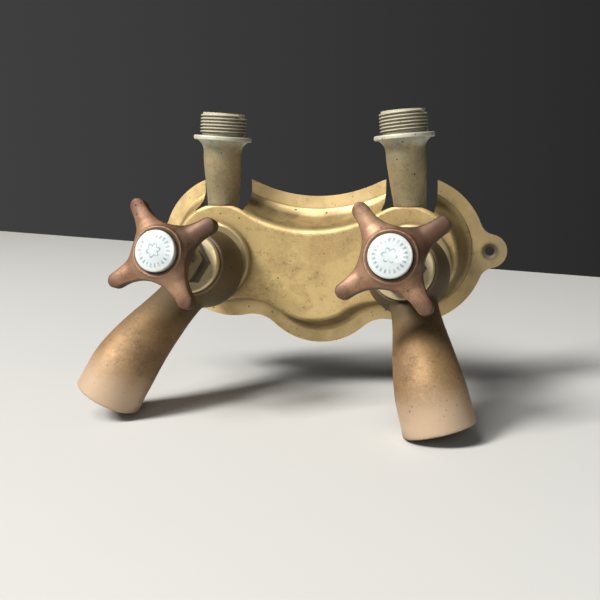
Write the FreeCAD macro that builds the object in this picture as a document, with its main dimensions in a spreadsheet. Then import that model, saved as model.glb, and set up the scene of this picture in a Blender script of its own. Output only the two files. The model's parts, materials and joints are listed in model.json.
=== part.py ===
import FreeCAD, Part
import math
import os
import Sketcher

# A pair of wall-mounted brass taps on one pressed backplate.
# Frame: the wall is the plane y = 0, the front faces -Y, Z is up, X runs from the left tap
# to the right one, and the origin lies midway between the two wall screws, on the wall.
# Each tap also has a frame of its own: its origin is where the spindle axis crosses the
# plate's raised face, local Z runs forward along the spindle and local Y runs up.

Vector = FreeCAD.Vector
Rotation = FreeCAD.Rotation
Placement = FreeCAD.Placement

DOC = FreeCAD.newDocument("wall_taps")
SHEET = DOC.addObject("Spreadsheet::Sheet", "Sizes")
SIDES = {"left": -1, "right": 1}
UP = Vector(0, 0, 1)

# Driving dimensions in millimetres and degrees: alias, value, meaning.
DIMENSIONS = [
    # backplate
    ("lobe_x", 54.5, "centre of each round lobe of the plate, from the middle"),
    ("rim_lobe_r", 42.8, "outer radius of a lobe"),
    ("rim_valley_z", 30.6, "top edge of the plate at the middle"),
    ("rim_drop_z", 57.0, "bottom edge of the plate at the middle, below the origin"),
    ("rim_drop_r", 40.5, "radius of the bottom bulge"),
    ("rim_fillet_r", 20.0, "hollow curve between the bottom bulge and a lobe"),
    ("rim_width", 7.8, "width of the flat rim"),
    ("face_lobe_r", 28.0, "radius of a lobe of the raised face"),
    ("face_lobe_drop", 1.4, "how far the raised face's lobes sit below the rim's"),
    ("face_valley_z", 11.4, "top edge of the raised face at the middle"),
    ("face_drop_z", 40.2, "bottom edge of the raised face at the middle"),
    ("face_drop_r", 33.0, "radius of the raised face's bottom bulge"),
    ("face_fillet_r", 38.0, "hollow curve below the raised face"),
    ("plate_depth", 21.0, "height of the raised face above the wall"),
    ("sheet_gauge", 1.2, "thickness of the pressed brass sheet"),
    ("bead_depth", 2.4, "height of the bead between the rim and the cove"),
    ("ear_x", 99.6, "centre of a fixing ear"),
    ("ear_r", 9.6, "radius of a fixing ear"),
    ("ear_fillet_r", 9.0, "hollow curve between an ear and its lobe"),
    ("screw_hole_r", 2.6, "wall screw hole"),
    ("screw_sink_r", 4.3, "countersink of a wall screw hole"),
    ("screw_land", 0.5, "straight part of a wall screw hole"),
    ("slot_x", 55.0, "centre of a pipe slot"),
    ("slot_width", 29.4, "width of a pipe slot"),
    ("slot_floor_z", 25.6, "lowest point of a pipe slot"),
    ("slot_relief", 6.0, "how much lower the slot runs behind the raised face"),
    # where the taps stand
    ("tap_x", 57.8, "tap axis, from the middle"),
    ("tap_z", -12.9, "height at which the spindle axis crosses the raised face"),
    ("tap_tilt", 14.4, "upward tilt of the spindle axis, degrees"),
    ("joint_z", -5.5, "height of the nipple that holds the tap to the plate"),
    ("running_gap", 0.1, "radial clearance of turning and sliding fits"),
    ("fixed_gap", 0.05, "clearance of fixed fits"),
    # inlet elbow
    ("thread_r", 13.22, "major radius of the 3/4 inch pipe thread"),
    ("thread_root_r", 12.06, "root radius of the 3/4 inch pipe thread"),
    ("thread_pitch", 1.814, "pitch of the pipe thread, 14 to the inch"),
    ("thread_length", 12.9, "threaded length"),
    ("inlet_top_z", 78.6, "top of the inlet"),
    ("inlet_depth", 16.9, "inlet axis in front of the wall"),
    ("inlet_lean", 4.4, "lean of each pipe towards the middle, degrees"),
    ("collar_r", 16.75, "radius of the collar under the thread"),
    ("collar_thick", 2.6, "thickness of that collar"),
    ("pipe_top_r", 10.9, "outer radius of the pipe below the collar"),
    ("pipe_foot_r", 9.0, "outer radius of the pipe behind the raised face"),
    ("pipe_depth", 10.3, "axis of the pipe's foot in front of the wall"),
    ("pipe_bore_r", 6.0, "waterway through the pipe"),
    ("inlet_bore_r", 9.2, "mouth of the waterway inside the thread"),
    ("nipple_r", 8.3, "radius of the nipple through the plate, 3/8 inch pipe thread"),
    ("nipple_length", 9.5, "length of the nipple in front of the raised face"),
    ("shoulder_r", 13.5, "shoulder behind the raised face"),
    ("clamp_r", 22.4, "radius of the clamp ring"),
    ("clamp_thick", 5.0, "thickness of the clamp ring"),
    # valve body, along the spindle axis
    ("body_rear_r", 17.0, "radius of the body behind the spout"),
    ("body_rear_end", 10.4, "front face of the body's rear shoulder"),
    ("barrel_r", 14.6, "radius of the barrel that the spout turns on"),
    ("barrel_end", 38.4, "front face of the barrel"),
    ("seat_at", 20.5, "face of the valve seat"),
    ("seat_r", 6.5, "bore of the valve seat"),
    ("chamber_r", 11.2, "valve chamber"),
    ("port_r", 4.0, "ports from the chamber to the spout"),
    ("port_at", 28.0, "middle of the ports"),
    # spout
    ("ring_rear", 11.7, "rear face of the spout's ring"),
    ("ring_rear_r", 18.6, "radius of the ring's rear face"),
    ("ring_wide_at", 18.0, "where the ring is widest"),
    ("ring_wide_r", 22.7, "largest radius of the ring"),
    ("ring_front", 38.0, "front face of the ring"),
    ("ring_front_r", 17.6, "radius of the ring's front face"),
    ("gallery_r", 17.0, "water gallery inside the ring"),
    ("shoulder_flare", 0.45, "outward run of the spout's shoulder for each step forward"),
    ("spout_reach", 52.3, "how far forward the mouth's centre lies"),
    ("spout_drop", 82.8, "how far the mouth's centre lies from the tap axis"),
    ("root_at", 20.0, "how far forward the spout's centre line starts"),
    ("root_drop", 6.0, "how far from the tap axis it starts"),
    ("bend_at", 33.3, "how far forward the first bend of that line pulls"),
    ("bend_drop", 36.0, "how far from the tap axis that bend pulls"),
    ("mouth_pull", 34.0, "how far the line runs straight behind the mouth"),
    ("mouth_r", 18.4, "outer radius of the mouth"),
    ("neck_r", 12.4, "outer radius of the neck"),
    ("flare_power", 1.84, "how late the neck opens into the bell"),
    ("spout_wall", 2.6, "wall of the spout"),
    ("mouth_tilt", 10.0, "backward turn of the mouth from the spout's normal, degrees"),
    ("swing_left", 26.7, "outward swing of the left spout as modelled, degrees"),
    ("swing_right", 16.1, "outward swing of the right spout as modelled, degrees"),
    ("washer_thick", 1.2, "fibre washers of the spout"),
    # headwork
    ("flange_r", 16.4, "bonnet flange"),
    ("flange_at", 39.7, "rear face of the bonnet flange"),
    ("flange_thick", 2.6, "thickness of the bonnet flange"),
    ("bonnet_hex", 22.0, "bonnet hexagon across flats"),
    ("bonnet_hex_end", 50.0, "front face of the bonnet hexagon"),
    ("bonnet_neck_r", 9.4, "bonnet neck inside the gland nut"),
    ("bonnet_end", 61.0, "front face of the bonnet"),
    ("plug_start", 35.2, "rear face of the bonnet's plug"),
    ("spindle_thread_r", 6.3, "threaded part of the spindle"),
    ("spindle_r", 4.5, "plain part of the spindle"),
    ("spindle_start", 26.3, "rear end of the spindle"),
    ("spindle_end", 80.4, "front end of the spindle"),
    ("spindle_square", 6.4, "square that carries the handle, across flats"),
    ("gland_hex", 22.5, "gland nut across flats"),
    ("gland_start", 56.6, "rear face of the gland nut"),
    ("gland_end", 66.0, "front face of the gland nut"),
    ("spindle_thread_end", 45.5, "front end of the spindle's threaded part"),
    ("neck_at", 54.0, "front end of the bonnet's threaded bore"),
    ("packing_at", 55.5, "rear face of the packing"),
    ("packing_end", 59.6, "front face of the packing"),
    ("packing_r", 7.5, "outer radius of the packing"),
    ("jumper_hole_r", 3.1, "blind hole in the spindle's foot"),
    ("jumper_hole_end", 34.5, "bottom of that hole"),
    ("jumper_stem_r", 3.0, "stem of the jumper valve"),
    ("jumper_stem_end", 33.5, "front end of the jumper's stem"),
    ("stud_r", 1.9, "stud that holds the valve washer"),
    ("stud_nut", 7.0, "nut on the stud, across flats"),
    ("washer_r", 8.3, "rubber valve washer"),
    ("washer_height", 3.1, "front face of the valve washer, from the seat"),
    # handle
    ("handle_rear", 70.0, "rear face of the handle's hub"),
    ("handle_front", 87.0, "front face of the handle's hub"),
    ("arm_reach", 31.6, "tip of an arm from the axis"),
    ("arm_r", 4.1, "half width of an arm"),
    ("waist_r", 13.3, "radius between two arms"),
    ("arm_thick", 7.8, "thickness of an arm"),
    ("arm_tip_at", 78.5, "middle of an arm's tip, along the spindle"),
    ("handle_turn_left", 31.1, "rest angle of the left handle, degrees"),
    ("handle_turn_right", 35.7, "rest angle of the right handle, degrees"),
    ("button_r", 10.5, "porcelain button"),
    ("bezel_width", 1.7, "width of the sloping bezel round the button"),
    ("bezel_depth", 2.2, "depth of that bezel"),
    ("button_edge_at", 89.4, "front edge of the button"),
    ("button_crown", 1.6, "crown of the button"),
    ("button_seat_at", 83.6, "rear face of the button"),
]


def fill_sheet():
    """Write every driving dimension to the sheet as a plain number with an alias."""
    for row, (alias, value, meaning) in enumerate(DIMENSIONS, start=1):
        SHEET.set("A%d" % row, meaning)
        SHEET.set("B%d" % row, repr(value))
        SHEET.setAlias("B%d" % row, alias)
    DOC.recompute()


def size(alias):
    """Read one driving dimension back from the sheet."""
    return float(SHEET.get(alias))


def bind(thing, **expressions):
    """Bind properties to expressions in which ~name stands for the sheet's cell."""
    for prop, expression in expressions.items():
        thing.setExpression(prop, expression.replace("~", "Sizes."))


# ---------------------------------------------------------------- frames

def tap_frame(side):
    """Spindle frame: local Z forward along the spindle, local Y up, local X across."""
    origin = Vector(SIDES[side] * size("tap_x"), -size("plate_depth"), size("tap_z"))
    return Placement(origin, Rotation(Vector(1, 0, 0), 90 - size("tap_tilt")))


def joint_frame(side):
    """Nipple frame: local Z straight out of the wall, from the plate's raised face."""
    origin = Vector(SIDES[side] * size("tap_x"), -size("plate_depth"), size("joint_z"))
    return Placement(origin, Rotation(Vector(1, 0, 0), 90))


def turned_about(frame, degrees):
    """The same frame turned about its own Z."""
    return frame.multiply(Placement(Vector(0, 0, 0), Rotation(UP, degrees)))


# ---------------------------------------------------------------- builders

def origin_plane(body, role):
    """The body's own origin plane with this role."""
    for feature in body.Origin.OriginFeatures:
        if feature.Role == role:
            return feature
    raise ValueError("no origin plane " + role)


def turned(name, corners, frame):
    """A lathe-turned piece: corners are (radius, height) expressions round its half section."""
    body = DOC.addObject("PartDesign::Body", name)
    sketch = body.newObject("Sketcher::SketchObject", name + "_section")
    sketch.AttachmentSupport = [(origin_plane(body, "XZ_Plane"), "")]
    sketch.MapMode = "FlatFace"
    points = [Vector(evaluate(radius), evaluate(height), 0) for radius, height in corners]
    count = len(points)
    for index, point in enumerate(points):
        sketch.addGeometry(Part.LineSegment(point, points[(index + 1) % count]), False)
    for index in range(count):
        sketch.addConstraint(
            Sketcher.Constraint("Coincident", index, 2, (index + 1) % count, 1))
    for index, (radius, height) in enumerate(corners):
        place_corner(sketch, index, "X", radius, points[index].x)
        place_corner(sketch, index, "Y", height, points[index].y)
    revolution = body.newObject("PartDesign::Revolution", name + "_turning")
    revolution.Profile = sketch
    revolution.ReferenceAxis = (sketch, ["V_Axis"])
    revolution.Angle = 360.0
    body.Tip = revolution
    body.Placement = frame
    return body


def place_corner(sketch, index, direction, expression, value):
    """Fix one coordinate of one corner of a section, bound to the sheet."""
    if abs(value) < 1e-9:
        axis = -2 if direction == "X" else -1
        sketch.addConstraint(Sketcher.Constraint("PointOnObject", index, 1, axis))
        return
    number = sketch.addConstraint(
        Sketcher.Constraint("Distance" + direction, -1, 1, index, 1, value))
    sketch.setExpression("Constraints[%d]" % number, expression.replace("~", "Sizes."))


def evaluate(expression):
    """Value of an expression in the sheet's names."""
    return float(SHEET.evalExpression(expression.replace("~", "")))


def cylinder(name, radius, height, frame, start="0"):
    """A Part cylinder along the frame's Z, starting at a height on it."""
    solid = DOC.addObject("Part::Cylinder", name)
    bind(solid, Radius=radius, Height=height)
    solid.Placement = frame.multiply(Placement(Vector(0, 0, evaluate(start)), Rotation()))
    return solid


def hexagon(name, across_flats, height, frame, start):
    """A hexagonal prism along the frame's Z."""
    solid = DOC.addObject("Part::Prism", name)
    solid.Polygon = 6
    bind(solid, Circumradius="(%s) / sqrt(3)" % across_flats, Height=height)
    solid.Placement = frame.multiply(Placement(Vector(0, 0, evaluate(start)), Rotation()))
    return solid


def block(name, width, depth, height, frame, start):
    """A box centred on the frame's Z, starting at a height on it."""
    solid = DOC.addObject("Part::Box", name)
    bind(solid, Length=width, Width=depth, Height=height)
    corner = Vector(-evaluate(width) / 2, -evaluate(depth) / 2, evaluate(start))
    solid.Placement = frame.multiply(Placement(corner, Rotation()))
    return solid


def fused(name, pieces):
    """One solid from several."""
    result = DOC.addObject("Part::MultiFuse", name)
    result.Shapes = pieces
    result.Refine = True
    return result


def cut(name, base, tool):
    """The base without the tool."""
    result = DOC.addObject("Part::Cut", name)
    result.Base = base
    result.Tool = tool
    result.Refine = True
    return result


def feature(name, shape, frame=None):
    """A Part::Feature that holds a shape made by Part's own functions."""
    result = DOC.addObject("Part::Feature", name)
    result.Shape = shape
    if frame is not None:
        result.Placement = frame
    return result


# ---------------------------------------------------------------- backplate

def touching_circle(first, second, radius, lower):
    """Centre of a circle that touches two circles (x, z, r) from outside."""
    ax, az, ar = first
    bx, bz, br = second
    span = math.hypot(bx - ax, bz - az)
    reach_a = ar + radius
    reach_b = br + radius
    along = (reach_a ** 2 - reach_b ** 2 + span ** 2) / (2 * span)
    off = math.sqrt(reach_a ** 2 - along ** 2)
    ux, uz = (bx - ax) / span, (bz - az) / span
    candidates = [(ax + ux * along - uz * off * flip, az + uz * along + ux * off * flip)
                  for flip in (1, -1)]
    chosen = min(candidates, key=lambda p: p[1]) if lower else max(candidates, key=lambda p: p[1])
    return chosen[0], chosen[1], radius


def arc_chain(circles, y):
    """A closed wire of arcs round touching circles, each (x, z, r, direction of its middle)."""
    count = len(circles)
    joints = []
    for index, (ax, az, ar, _) in enumerate(circles):
        bx, bz, br, _ = circles[(index + 1) % count]
        part = ar / (ar + br)
        joints.append(Vector(ax + (bx - ax) * part, y, az + (bz - az) * part))
    edges = []
    for index, (cx, cz, radius, aim) in enumerate(circles):
        start, end = joints[index - 1], joints[index]
        toward = Vector(aim[0], 0, aim[1]).normalize()
        middle = Vector(cx, y, cz) + toward * radius
        edges.append(Part.Arc(start, middle, end).toShape())
    return Part.Wire(edges)


def plate_circles(shape, inset, with_ears):
    """The circles of a plate outline, clockwise from the top valley, moved in by an inset."""
    lobe_x, lobe_z, lobe_r, valley_z, drop_z, drop_r, fillet_r = shape
    rise = valley_z - lobe_z
    valley_r = (lobe_x ** 2 + rise ** 2 - lobe_r ** 2) / (2 * (lobe_r - rise))
    lobe = (lobe_x, lobe_z, lobe_r)
    drop = (0, -drop_z + drop_r, drop_r)
    fillet = touching_circle(drop, lobe, fillet_r, lower=True)
    half = []
    if with_ears:
        ear = (size("ear_x"), 0, size("ear_r"))
        upper = touching_circle(lobe, ear, size("ear_fillet_r"), lower=False)
        under = touching_circle(lobe, ear, size("ear_fillet_r"), lower=True)
        half.append((lobe_x, lobe_z, lobe_r - inset, (1, 1)))
        half.append((upper[0], upper[1], upper[2] + inset, (-1, -3)))
        half.append((ear[0], ear[1], ear[2] - inset, (1, 0)))
        half.append((under[0], under[1], under[2] + inset, (-1, 3)))
        half.append((lobe_x, lobe_z, lobe_r - inset, (1, -1.6)))
    else:
        half.append((lobe_x, lobe_z, lobe_r - inset, (1, 0)))
    half.append((fillet[0], fillet[1], fillet_r + inset, (0, 1)))
    valley = (0, valley_z + valley_r, valley_r + inset, (0, -1))
    bulge = (0, -drop_z + drop_r, drop_r - inset, (0, -1))
    mirrored = [(-x, z, r, (-aim[0], aim[1])) for x, z, r, aim in reversed(half)]
    return [valley] + half + [bulge] + mirrored


def rim_shape():
    """Outline numbers of the rim."""
    return (size("lobe_x"), 0.0, size("rim_lobe_r"), size("rim_valley_z"),
            size("rim_drop_z"), size("rim_drop_r"), size("rim_fillet_r"))


def face_shape():
    """Outline numbers of the raised face."""
    return (size("lobe_x"), -size("face_lobe_drop"), size("face_lobe_r"),
            size("face_valley_z"), size("face_drop_z"), size("face_drop_r"),
            size("face_fillet_r"))


def between(low, high, part):
    """Outline numbers part of the way from one outline to another."""
    return tuple(a + (b - a) * part for a, b in zip(low, high))


def inset_shape(shape, inset):
    """Outline numbers of a parallel outline further in."""
    lobe_x, lobe_z, lobe_r, valley_z, drop_z, drop_r, fillet_r = shape
    return (lobe_x, lobe_z, lobe_r - inset, valley_z - inset,
            drop_z - inset, drop_r - inset, fillet_r + inset)


def cove(inset, back):
    """The raised part as a solid: sections from the rim up the hollow cove to the face."""
    low = inset_shape(rim_shape(), size("rim_width"))
    high = face_shape()
    depth = size("plate_depth")
    bead = size("bead_depth")
    # share of the way in, and share of the height above the bead
    profile = [(0.0, 0.0), (0.22, 0.07), (0.46, 0.22), (0.64, 0.44), (0.77, 0.68), (0.90, 0.88),
               (1.02, 0.965), (1.22, 1.0)]
    wires = [arc_chain(plate_circles(inset_shape(low, inset), 0, False), back)]
    for share_in, share_up in profile:
        y = -(bead + (depth - bead) * share_up) + inset
        wires.append(arc_chain(
            plate_circles(inset_shape(between(low, high, share_in), inset), 0, False), y))
    return Part.makeLoft(wires, True, False)


def backplate():
    """Pressed plate: flat rim with two ears, bead, cove and raised face, slots and holes."""
    gauge = size("sheet_gauge")
    depth = size("plate_depth")
    outline = arc_chain(plate_circles(rim_shape(), 0, True), 0)
    rim = Part.Face(outline).extrude(Vector(0, -gauge, 0))
    shell = rim.fuse(cove(0, -gauge / 2))
    shell = shell.cut(cove(gauge, gauge))
    for side in SIDES.values():
        slot_r = size("slot_width") / 2
        corner = Vector(side * size("slot_x") - slot_r, -depth - gauge, size("slot_floor_z"))
        slot = Part.makeBox(2 * slot_r, depth + 2 * gauge, size("rim_lobe_r"), corner)
        shell = shell.cut(slot)
        inner_slot = Part.makeBox(2 * slot_r, depth, size("slot_relief"),
                                  corner + Vector(0, 2 * gauge, -size("slot_relief")))
        shell = shell.cut(inner_slot)
        hole = Part.makeCylinder(size("nipple_r") + size("fixed_gap"), depth,
                                 Vector(side * size("tap_x"), -depth / 2, size("joint_z")),
                                 Vector(0, -1, 0))
        shell = shell.cut(hole)
        ear = Vector(side * size("ear_x"), 0, 0)
        shell = shell.cut(Part.makeCylinder(size("screw_hole_r"), 2 * gauge,
                                            ear + Vector(0, gauge / 2, 0), Vector(0, -1, 0)))
        land = size("screw_land")
        shell = shell.cut(Part.makeCone(size("screw_hole_r"), size("screw_sink_r"), gauge - land,
                                        ear + Vector(0, -land, 0), Vector(0, -1, 0)))
    return feature("backplate", shell.removeSplitter())


# ---------------------------------------------------------------- inlet elbow

def pipe_thread():
    """Right-handed external pipe thread on a plain core, along Z from z = 0."""
    pitch = size("thread_pitch")
    root = size("thread_root_r")
    crest = size("thread_r")
    length = size("thread_length")
    sunk = 0.15
    start = pitch * 0.6
    ridge = Part.makePolygon([
        Vector(root - sunk, 0, -pitch * 0.46), Vector(crest, 0, -pitch * 0.1),
        Vector(crest, 0, pitch * 0.1), Vector(root - sunk, 0, pitch * 0.46),
        Vector(root - sunk, 0, -pitch * 0.46)])
    helix = Part.makeHelix(pitch, length - 2 * start, root)
    swept = Part.Wire(helix.Edges).makePipeShell([ridge], True, True)
    swept.translate(Vector(0, 0, start))
    core = Part.makeCylinder(root, length)
    return core.fuse(swept)


def pipe_station(share):
    """Centre and radius of the S-bent pipe: share 0 at its foot, 1 under the collar."""
    ease = share * share * (3 - 2 * share)
    foot_z = size("slot_floor_z") - 2.0
    top_z = size("inlet_top_z") - size("thread_length") - size("collar_thick")
    z = foot_z + (top_z - foot_z) * share
    y = -(size("pipe_depth") + (size("inlet_depth") - size("pipe_depth")) * ease)
    radius = size("pipe_foot_r") + (size("pipe_top_r") - size("pipe_foot_r")) * min(1, 1.6 * share)
    if share > 0.8:
        radius += (size("collar_r") - 2.2 - size("pipe_top_r")) * ((share - 0.8) / 0.2) ** 3
    return Vector(0, y, z), radius


def disc(centre, radius, normal=UP):
    """A circular wire."""
    return Part.Wire([Part.makeCircle(radius, centre, normal)])


def inlet_elbow(side):
    """Threaded inlet, collar, S-bent pipe, blind foot and the nipple through the plate."""
    shares = [0, 0.14, 0.3, 0.5, 0.68, 0.8, 0.88, 0.94, 1.0]
    stations = [pipe_station(share) for share in shares]
    pipe = Part.makeLoft([disc(centre, radius) for centre, radius in stations], True, False)
    top, _ = stations[-1]
    foot, foot_r = stations[0]
    foot_bottom = size("joint_z") - foot_r
    collar = Part.makeCylinder(size("collar_r"), size("collar_thick"), top)
    collar = collar.makeFillet(0.8, [edge for edge in collar.Edges if edge.Length > 10])
    thread = pipe_thread()
    thread.translate(top + Vector(0, 0, size("collar_thick")))
    leg = Part.makeCylinder(foot_r, foot.z - foot_bottom, Vector(0, foot.y, foot_bottom))
    leg = leg.makeChamfer(2.5, [edge for edge in leg.Edges
                                if abs(edge.CenterOfMass.z - foot_bottom) < 0.01])
    solid = leg.fuse([pipe, collar, thread])
    bore_top = size("inlet_top_z")
    bore_shares = shares[:6]
    bore = Part.makeLoft([disc(pipe_station(share)[0], size("pipe_bore_r"))
                          for share in bore_shares], True, False)
    upper, _ = pipe_station(bore_shares[-1])
    funnel = Part.makeLoft([disc(upper, size("pipe_bore_r")),
                            disc(top, size("inlet_bore_r"))], True, False)
    mouth = Part.makeCylinder(size("inlet_bore_r"), bore_top - top.z + 1, top)
    well = Part.makeCylinder(size("pipe_bore_r"), foot.z - size("joint_z"),
                             Vector(0, foot.y, size("joint_z")))
    solid = solid.cut([bore, funnel, mouth, well])
    # lean about the nipple's axis, then add the nipple, which stays square to the plate
    pivot = Vector(0, 0, size("joint_z"))
    solid.rotate(pivot, Vector(0, 1, 0), -SIDES[side] * size("inlet_lean"))
    depth = size("plate_depth")
    gauge = size("sheet_gauge")
    out = Vector(0, -1, 0)
    reach = depth + size("nipple_length") + foot.y
    nipple = Part.makeCylinder(size("nipple_r"), reach, pivot + Vector(0, foot.y, 0), out)
    shoulder = Part.makeCylinder(size("shoulder_r"), 3.0,
                                 pivot + Vector(0, -depth + gauge + 3.0, 0), out)
    solid = solid.fuse([nipple, shoulder])
    solid = solid.cut(Part.makeCylinder(size("pipe_bore_r"), reach + 1,
                                        pivot + Vector(0, foot.y, 0), out))
    solid.translate(Vector(SIDES[side] * size("tap_x"), 0, 0))
    return feature("inlet_elbow_" + side, solid.removeSplitter())


def clamp_ring(side):
    """Round nut on the nipple that clamps the plate against the elbow's shoulder."""
    return turned("clamp_ring_" + side, [
        ("~nipple_r + ~fixed_gap", "0"), ("~clamp_r - 0.6", "0"), ("~clamp_r", "0.8"),
        ("~clamp_r", "~clamp_thick - 1.6"), ("~clamp_r - 0.5", "~clamp_thick - 0.6"),
        ("~clamp_r - 1.6", "~clamp_thick"), ("~nipple_r + ~fixed_gap", "~clamp_thick")],
        joint_frame(side))


def joint_washer(side):
    """Fibre washer between the nipple's end and the body's socket."""
    return turned("joint_washer_" + side, [
        ("~pipe_bore_r", "~nipple_length"), ("~nipple_r - 0.2", "~nipple_length"),
        ("~nipple_r - 0.2", "~nipple_length + 1.5"), ("~pipe_bore_r", "~nipple_length + 1.5")],
        joint_frame(side))


# ---------------------------------------------------------------- valve body

def valve_body(side):
    """Body: tilted barrel with seat, chamber and ports, joined to a socket on the nipple."""
    name = "valve_body_" + side
    tap = tap_frame(side)
    nipple = joint_frame(side)
    barrel = turned(name + "_barrel", [
        ("0", "0"), ("~body_rear_r", "0"), ("~body_rear_r", "~body_rear_end"),
        ("~barrel_r", "~body_rear_end"), ("~barrel_r", "~barrel_end"),
        ("~chamber_r", "~barrel_end"), ("~chamber_r", "~seat_at - 1.2"),
        ("~seat_r + 1.6", "~seat_at - 1.2"), ("~seat_r + 1.0", "~seat_at"),
        ("~seat_r", "~seat_at"), ("~seat_r", "~body_rear_end + 2"),
        ("0", "~body_rear_end + 2")], tap)
    behind = block(name + "_rear_plane", "120", "120", "40", nipple,
                   "~clamp_thick + ~fixed_gap - 40")
    trimmed = cut(name + "_trimmed", barrel, behind)
    bore = cylinder(name + "_socket", "~nipple_r + ~fixed_gap", "~nipple_length + 1.5", nipple)
    socketed = cut(name + "_socketed", trimmed, bore)
    inflow = cylinder(name + "_inflow", "~seat_r", "~body_rear_end", tap, "4")
    pierced = cut(name + "_pierced", socketed, inflow)
    ports = []
    for number in range(4):
        across = turned_about(tap, 90.0 * number).multiply(
            Placement(Vector(0, 0, size("port_at")), Rotation(Vector(1, 0, 0), 90)))
        ports.append(cylinder("%s_port_%d" % (name, number), "~port_r", "~barrel_r + 3", across))
    return labelled(cut(name, pierced, fused(name + "_ports", ports)), name)


def labelled(thing, label):
    """Give the finished sub-part its name."""
    thing.Label = label
    return thing


# ---------------------------------------------------------------- spout

def spout_line(share):
    """Centre line of the spout, in its own frame, as (down, forward)."""
    turn = math.radians(size("mouth_tilt"))
    drop, reach = size("spout_drop"), size("spout_reach")
    pull = size("mouth_pull")
    points = [(size("root_drop"), size("root_at")), (size("bend_drop"), size("bend_at")),
              (drop - pull * math.cos(turn), reach + pull * math.sin(turn)), (drop, reach)]
    weights = [(1 - share) ** 3, 3 * share * (1 - share) ** 2, 3 * share ** 2 * (1 - share),
               share ** 3]
    return tuple(sum(w * p[axis] for w, p in zip(weights, points)) for axis in (0, 1))


def spout_section(share, trim):
    """Oval section of the spout square to its centre line, smaller by a wall's thickness."""
    step = 1e-3
    here = spout_line(share)
    ahead = spout_line(share + step)
    behind = spout_line(share - step)
    along = Vector(0, -(ahead[0] - behind[0]), ahead[1] - behind[1]).normalize()
    start, root = 0.11, 0.18
    flare = math.sin(max(0.0, (share - start) / (1 - start)) * math.pi / 2)
    spread = size("neck_r") + (size("mouth_r") - size("neck_r")) * flare ** size("flare_power")
    if share < root:
        spread += 2.4 * (1 - share / root) ** 2
    across = spread - trim
    depth = spread * (0.99 - 0.10 * share) - trim
    ellipse = Part.Ellipse(Vector(0, 0, 0), across, depth)
    wire = Part.Wire([ellipse.toShape()])
    frame_x = Vector(1, 0, 0)
    frame_y = along.cross(frame_x)
    wire.Placement = Placement(Vector(0, -here[0], here[1]),
                               Rotation(frame_x, frame_y, along, "ZXY"))
    return wire


def spout(side):
    """Swivel spout: a domed ring round the barrel and a flared bell running down to the mouth."""
    shares = [0.0, 0.1, 0.2, 0.34, 0.5, 0.66, 0.82, 1.0]
    bell = Part.makeLoft([spout_section(share, 0) for share in shares], True, False)
    inner_shares = shares[1:-1] + [1.02]
    waterway = Part.makeLoft([spout_section(share, size("spout_wall"))
                              for share in inner_shares], True, False)
    waterway = waterway.cut(headroom(size("spout_wall")))
    body = bell.fuse(ring_solid())
    body = body.cut(waterway)
    rear, front = size("ring_rear"), size("ring_front")
    bore = Part.makeCylinder(size("barrel_r") + size("running_gap"), front - rear + 2,
                             Vector(0, 0, rear - 1))
    gallery = Part.makeCylinder(size("gallery_r"), 11.0, Vector(0, 0, size("port_at") - 5.5))
    behind = Part.makeBox(60, 60, 30, Vector(-30, -30, rear - 30))
    body = body.cut([bore, gallery, headroom(0), behind])
    outward = SIDES[side] * size("swing_" + side)
    return feature("spout_" + side, body.removeSplitter(), turned_about(tap_frame(side), outward))


def headroom(gap):
    """Cone that opens forward from the ring's front face, `gap` wider than the bonnet needs."""
    length = 32.0
    near = size("ring_front_r") + gap
    return Part.makeCone(near, near + length * size("shoulder_flare"), length,
                         Vector(0, 0, size("ring_front") - gap))


def ring_solid():
    """Domed ring of the spout, turned about the tap axis."""
    rear, wide, front = size("ring_rear"), size("ring_wide_at"), size("ring_front")
    rear_r, wide_r, front_r = size("ring_rear_r"), size("ring_wide_r"), size("ring_front_r")
    rear_out = Vector(rear_r, 0, rear)
    belly = Vector(wide_r, 0, wide)
    front_out = Vector(front_r, 0, front)
    rear_arc = Part.Arc(rear_out, Vector((rear_r + wide_r) / 2 + 1.1, 0, (rear + wide) / 2 - 0.6),
                        belly)
    front_arc = Part.Arc(belly, Vector((wide_r + front_r) / 2 + 0.9, 0, (wide + front) / 2 + 0.5),
                         front_out)
    edges = [Part.makeLine(Vector(0, 0, rear), rear_out), rear_arc.toShape(),
             front_arc.toShape(), Part.makeLine(front_out, Vector(0, 0, front)),
             Part.makeLine(Vector(0, 0, front), Vector(0, 0, rear))]
    return Part.Face(Part.Wire(edges)).revolve(Vector(0, 0, 0), UP, 360)


def spout_washers(side):
    """Fibre washers behind and in front of the spout's ring."""
    tap = tap_frame(side)
    rear = turned("spout_rear_washer_" + side, [
        ("~barrel_r + ~fixed_gap", "~body_rear_end"), ("~body_rear_r", "~body_rear_end"),
        ("~body_rear_r", "~body_rear_end + ~washer_thick"),
        ("~barrel_r + ~fixed_gap", "~body_rear_end + ~washer_thick")], tap)
    front = turned("spout_front_washer_" + side, [
        ("~barrel_r + ~fixed_gap", "~ring_front + ~running_gap"),
        ("~flange_r - 0.2", "~ring_front + ~running_gap"),
        ("~flange_r - 0.2", "~flange_at"), ("~barrel_r + ~fixed_gap", "~flange_at")], tap)
    return [rear, front]


# ---------------------------------------------------------------- headwork

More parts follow.
